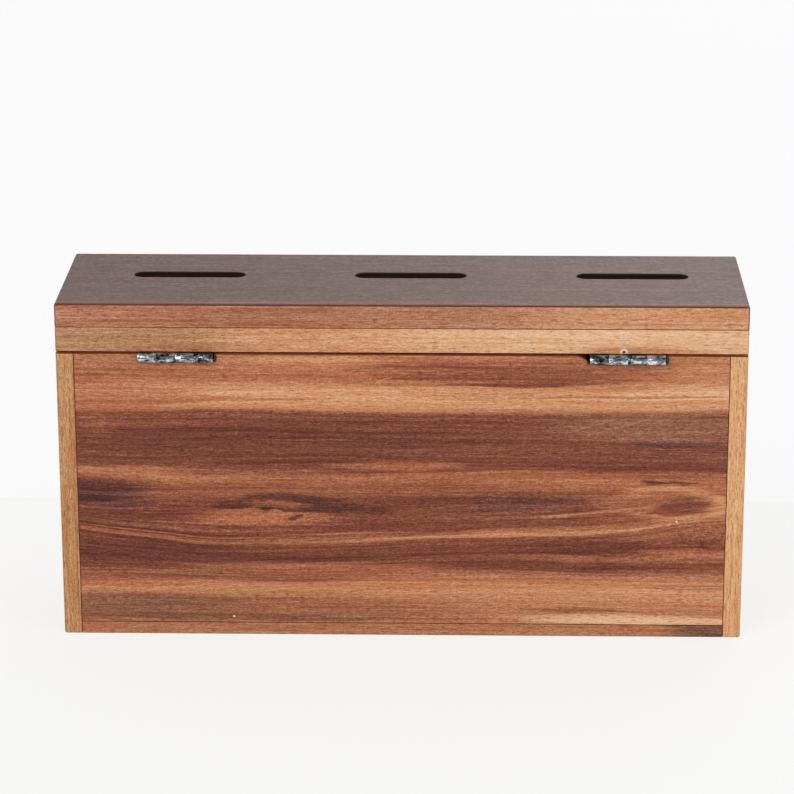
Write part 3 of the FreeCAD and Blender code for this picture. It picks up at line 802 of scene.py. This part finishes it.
# %% Back board: marks, seams and finish
BACK_MARKS = [
    (drawn_line, [(38, 87.4), (46, 86.8)], 0.25, "bone", 0.8),
    (drawn_line, [(3, 92.2), (9, 90.4)], 0.2, "bone", 0.5),
    (drawn_line, [(-90, 80.0), (-60, 71.5)], 0.2, "honey", 0.5),
    (drawn_line, [(-72, 78.0), (-52, 72.0)], 0.2, "honey", 0.5),
    (drawn_line, [(-101, 92.0), (-84, 84.0)], 0.2, "bone", 0.5),
    (oval, 57, 6.7, 0.6, 0.4, "chalk", 1.0),
    (oval, -92.5, 41.8, 0.4, 0.5, "chalk", 0.9),
    # painted shade in the gaps at the ends of the hinge barrels
    *((oval, end, 98.5, 0.9, 2.2, "char", 0.9) for end in (61.9, -61.9, -88.1)),
]
# painted shade in the gap between the box's rim and the lid
RIM_GAP_SHADE = ("Z", 100.0, 0.25, "umber")
BOX_SEAMS_AND_GAP_SHADE = [
    ("X", -109, 0.12, "umber"), ("X", 109, 0.12, "umber"), ("Z", 4.5, 0.12, "umber"), RIM_GAP_SHADE,
]
BACK_SHAPES = FOOT_SHAPES + SPINDLE_SHAPES + RIM_SHAPES
finish(oiled_acacia("back_board", "X", "Z", BACK_BANDS, BACK_SHAPES, BACK_SWEEPS, BACK_SWEPT,
                    BACK_MARKS, BOX_SEAMS_AND_GAP_SHADE, seed=1), "back_board")

# %% [markdown]
# ## Front board
#
# The front comes from the same plank, further from the heart: the same stripes and spindles, but
# calmer. It could share the back's material, but two boards with one grain look printed, so it
# gets a list of its own.

# %% Front board
FRONT_BANDS = [
    (4.5, "russet"), (12.0, "heart"), (20.0, "russet"), (27.0, "amber"), (33.0, "honey"),
    (36.0, "honey"), (39.0, "amber"), (42.0, "heart"), (52.0, "heart"), (60.0, "umber"),
    (66.0, "heart"), (76.0, "heart"), (78.0, "russet"), (82.0, "amber"), (85.0, "cream"),
    (92.0, "honey"), (96.0, "amber"), (100.0, "russet"),
]
FRONT_CURVE = [(-115, 50.0), (-60, 55.0), (-10, 53.0), (40, 47.0), (80, 46.0), (115, 50.0)]
FRONT_SWEEPS = [(FRONT_CURVE, 50.0, 18.0)]
FRONT_SHAPES = [
    (oval, -40, 62.0, 50, 4.5, "umber", 0.9),
    (oval, -46, 62.0, 24, 2.4, "plum", 0.9),
    (oval, 60, 55.0, 34, 4.0, "plum", 0.7),
    (oval, 20, 16.0, 70, 4.0, "umber", 0.7),
    (oval, -70, 88.0, 60, 3.0, "bone", 0.7),
    (oval, 70, 90.0, 50, 2.0, "amber", 0.8),
    (oval, -80, 30.0, 50, 3.0, "cream", 0.7),
]
FRONT_SWEPT = [
    (oval, 10, 44.0, 95, 0.8, "honey", 0.9),
    (oval, -30, 46.5, 70, 0.6, "amber", 0.8),
    *((oval, 60 - 20 * i, 48.5 + 1.4 * i, 60, 0.5, "umber", 0.7) for i in range(4)),
]
finish(oiled_acacia("front_board", "X", "Z", FRONT_BANDS, FRONT_SHAPES, FRONT_SWEEPS,
                    FRONT_SWEPT, seams_and_shade=BOX_SEAMS_AND_GAP_SHADE, seed=11), "front_board")

# %% [markdown]
# ## End boards
#
# The ends stand with their grain upright, and are cut from paler wood that turns red towards
# the middle of the board. One material could do for both, but their long edges show beside the
# front and back boards as two strips, one paler than the other. So each has its own stripes,
# chosen for those edges.

# %% End boards
LEFT_END_BANDS = [
    (-32, "straw"), (-24, "honey"), (-16, "amber"), (-7, "russet"), (0, "heart"), (6, "russet"),
    (14, "amber"), (24, "honey"), (32, "straw"),
]
RIGHT_END_BANDS = [
    (-32, "honey"), (-26, "amber"), (-15, "honey"), (-6, "amber"), (4, "russet"), (12, "heart"),
    (20, "russet"), (27, "amber"), (30.5, "gold"), (32, "gold"),
]
END_SEAMS_AND_GAP_SHADE = [*BOX_SEAMS_AND_GAP_SHADE[:2], RIM_GAP_SHADE]
finish(oiled_acacia("left_end", "Z", "Y", LEFT_END_BANDS, seams_and_shade=END_SEAMS_AND_GAP_SHADE, seed=21),
       "left_end_board")
finish(oiled_acacia("right_end", "Z", "Y", RIGHT_END_BANDS, seams_and_shade=END_SEAMS_AND_GAP_SHADE, seed=31),
       "right_end_board")

# %% [markdown]
# ## Lid top
#
# The lid's top is dark, even heartwood that runs out to a lighter red along its back edge, with a
# greyish haze of pale specks that is partly dust and partly painted sheen. A wide dark oval over
# its right half is painted shade that tones down the sheen there, and a thin strip of painted shade
# runs along its top edges. Dark pieces could line the slots, but the board's own material can find
# them: their strip is given in millimetres, so that only their walls are scorched.

# %% Lid top
TOP_BANDS = [
    (-32, "cocoa"), (-24, "walnut"), (-15, "cocoa"), (-6, "walnut"), (2, "cocoa"), (10, "walnut"),
    (18, "cocoa"), (26, "walnut"), (30.5, "heart"), (31.2, "clay"), (32, "clay"),
]
TOP_SHAPES = [
    (oval, -100, 32.0, 80, 1.5, "cream", 0.8),
    (oval, 60, 32.0, 30, 0.6, "heart", 0.5),
    (oval, 30, -22.0, 70, 3.0, "umber", 0.6),
    (oval, -60, 12.0, 60, 3.0, "umber", 0.5),
    # painted shade: a wide dark oval that tones down the sheen over the right half of the top
    (oval, -62, 0.0, 60, 28.0, "umber", 0.45),
]
# pale specks over the top, partly dust and partly painted sheen
TOP_DUST_AND_SHEEN = 0.09
SLOT_STRIP = (-5.0, 3.75, 110.0)
LID_SEAM = ("Z", 109.0, 0.12, "heart")
# the last strip is painted shade along the top's edges, laid over their highlight
TOP_SEAMS_AND_EDGE_SHADE = [LID_SEAM, ("Y", 31.0, 0.9, "walnut"), ("Z", 116.75, 0.25, "umber")]
finish(oiled_acacia("lid_top", "X", "Y", TOP_BANDS, TOP_SHAPES, seams_and_shade=TOP_SEAMS_AND_EDGE_SHADE,
                    slots=SLOT_STRIP, worn=TOP_DUST_AND_SHEEN, seed=41), "lid_top_board")

# %% [markdown]
# ## Lid rails
#
# Under the top lie four rails of sapwood, the palest wood on the box. One material could do for
# all four, but the grain of the long rails runs along the box and that of the short ones across
# it. The back rail is also the one that shows, so it has its own patches, and a small pale ring
# where it was dented above a hinge.

# %% Lid rails
RAIL_BANDS = [(100.5, "honey"), (104.0, "cream"), (109.0, "cream")]
RAIL_SHAPES = [
    (oval, 110, 104.0, 95, 14.0, "tan", 1.0),
    (oval, 20, 105.0, 60, 9.0, "honey", 0.5),
    (oval, 75, 101.0, 24, 3.5, "amber", 0.9),
    (oval, -75, 106.0, 110, 12.0, "bone", 0.8),
    (oval, -80, 101.5, 26, 2.0, "honey", 0.8),
]
RAIL_MARKS = [
    (oval, -73.7, 101.3, 1.7, 1.4, "chalk", 1.0),
    (oval, -73.7, 101.3, 0.9, 0.7, "umber", 1.0),
]
# the second strip is painted shade along the rail's lower edge, in the gap above the box
RAIL_SEAMS_AND_GAP_SHADE = [LID_SEAM, ("Z", 100.5, 0.25, "umber")]
finish(oiled_acacia("back_rail", "X", "Z", RAIL_BANDS, RAIL_SHAPES, marks=RAIL_MARKS,
                    seams_and_shade=RAIL_SEAMS_AND_GAP_SHADE, seed=51), "lid_back_rail")
finish(oiled_acacia("front_rail", "X", "Z", RAIL_BANDS, RAIL_SHAPES[:2], seams_and_shade=RAIL_SEAMS_AND_GAP_SHADE,
                    seed=55), "lid_front_rail")
finish(oiled_acacia("end_rails", "Y", "Z", RAIL_BANDS, seams_and_shade=RAIL_SEAMS_AND_GAP_SHADE, seed=61),
       "lid_left_rail", "lid_right_rail")

# %% [markdown]
# ## Bottom and dividers
#
# The bottom's edge shows as a thin strip under the front and back boards, and the rest is seen
# only with the lid open. These pieces could be figured like the back, but a maker keeps plainer
# stock for where it is out of sight: stripes, and two soft patches on the bottom's edge.

# %% Bottom and dividers
BOTTOM_BANDS = [
    (-32, "amber"), (-20, "russet"), (0, "amber"), (18, "russet"), (30, "amber"), (32, "amber"),
]
DIVIDER_BANDS = [(-26, "russet"), (-12, "heart"), (0, "russet"), (12, "amber"), (26, "heart")]
BOTTOM_SHAPES = [
    (oval, 0, 32.0, 160, 3.0, "tan", 0.5),
    (oval, -108, 32.0, 24, 3.0, "plum", 0.7),
]
finish(oiled_acacia("bottom", "X", "Y", BOTTOM_BANDS, BOTTOM_SHAPES, seams_and_shade=BOX_SEAMS_AND_GAP_SHADE, seed=71),
       "bottom_board")
finish(oiled_acacia("dividers", "Z", "Y", DIVIDER_BANDS, seed=81),
       "left_divider", "right_divider")

# %% [markdown]
# ## Zinc-plated steel
#
# The hinges are stamped steel with a thin coat of zinc, dulled by handling: blue-grey, mottled
# where the coat has weathered, with scuffs that catch the light. Metal has no colour of its own
# under the surface, so metallic is 1 and the base colour is what it mirrors: the white table in
# the lower half of a barrel and the dim room in the upper half. One even grey would be simpler,
# but it looks like plastic, so the wear changes tone, gloss and height together. Real scuffs
# are hair-thin, and are drawn 0.3 mm wide so that they show. The leaves lie sheltered between
# lid and box, and are a quarter as worn as the barrels.

# %% Zinc-plated steel
BARREL_START = 31.3
SHELTERED_WEAR = 0.25
MOST_WEAR = 1.2
ZINC_ROUGHNESS = (0.38, 0.2)
DENT_DEPTH = 0.1 * MM
DENT_RELIEF = 0.35


def zinc_plated_steel(name, low, middle, high, seed):
    """Stamped steel with a thin, weathered coat of zinc, from its darkest to its brightest tone."""
    material, tree, output = new_tree("zinc_plated_steel_" + name)
    place = grain_space(tree, "X", "Y")
    patches = streaks(tree, place, 3.5, 2.0, seed)
    mottle = streaks(tree, place, 0.8, 0.5, seed + 1)
    scuffs = streaks(tree, place, 2.0, 0.3, seed + 2)
    wear = add(tree, "Math", {0: mottle, 1: 0.6, 2: patches}, operation="MULTIPLY_ADD")
    wear = add(tree, "Math", {0: scuffs, 1: 0.4, 2: wear}, operation="MULTIPLY_ADD")
    outward = add(tree, "SeparateXYZ", {0: place}).outputs["Y"]
    weathered = add(tree, "MapRange", {
        0: outward, 1: BARREL_START - 1, 2: BARREL_START, 3: SHELTERED_WEAR, 4: 1.0})
    wear = add(tree, "Math", {0: wear, 1: weathered}, operation="MULTIPLY")
    worn_share = add(tree, "MapRange", {0: wear, 1: -MOST_WEAR, 2: MOST_WEAR})
    tones = add(tree, "ValToRGB", {0: worn_share})
    elements = tones.color_ramp.elements
    elements.new(0.5)
    for element, share, colour in zip(elements, (0.2, 0.5, 0.8), (low, middle, high)):
        element.position = share
        element.color = linear(colour)
    dull, polished = ZINC_ROUGHNESS
    roughness = add(tree, "MapRange", {0: wear, 1: -1.0, 2: 1.0, 3: dull, 4: polished})
    bump = add(tree, "Bump", {"Strength": DENT_RELIEF, "Distance": DENT_DEPTH, "Height": wear})
    shader = add(tree, "BsdfPrincipled", {
        "Base Color": tones, "Metallic": 1.0, "Roughness": roughness, "Normal": bump})
    tree.links.new(shader.outputs[0], output.inputs[0])
    return material


print("zinc is worn from", BARREL_START, "mm behind the middle of the box outwards")

# %% [markdown]
# ## Hinges
#
# The knuckles of the two leaves take turns along a barrel, and one leaf of each pair is more
# worn, so two finishes tell them apart, and the sunk screws have a duller one of their own.
# Stamped edges are never sharp. They could be rounded in the CAD model, but at a tenth of a
# millimetre a bevel modifier does it without a heavier model.

# %% Hinges
KNUCKLE_BEVEL = 0.14 * MM
JOIN_WITHIN = 0.001 * MM
SHARP_ANGLE = radians(50)


def round_edges(name):
    """Rounds a stamped piece's edges, after joining the faces that the CAD file keeps apart."""
    weld = nodes[name].modifiers.new("weld", "WELD")
    weld.merge_threshold = JOIN_WITHIN
    bevel = nodes[name].modifiers.new("bevel", "BEVEL")
    bevel.width = KNUCKLE_BEVEL
    bevel.segments = 2
    bevel.limit_method = "ANGLE"
    bevel.angle_limit = SHARP_ANGLE


worn = "right_hinge_lid_leaf", "left_hinge_box_leaf"
screws = [name for name in nodes if name.endswith("screws")]
bright = [name for name in nodes if "hinge" in name and name not in (*worn, *screws)]
finish(zinc_plated_steel("bright", "#3A4248", "#99A3AA", "#F6F8F9", 1), *bright)
finish(zinc_plated_steel("worn", "#101416", "#59626A", "#D9E0E4", 4), *worn)
finish(zinc_plated_steel("screws", "#24292D", "#4A5157", "#B4BCC2", 7), *screws)
leaves = [name for name in nodes if name.endswith("leaf")]
for leaf in leaves:
    round_edges(leaf)
print("edges of", len(leaves), "leaves rounded to", KNUCKLE_BEVEL / MM, "mm")
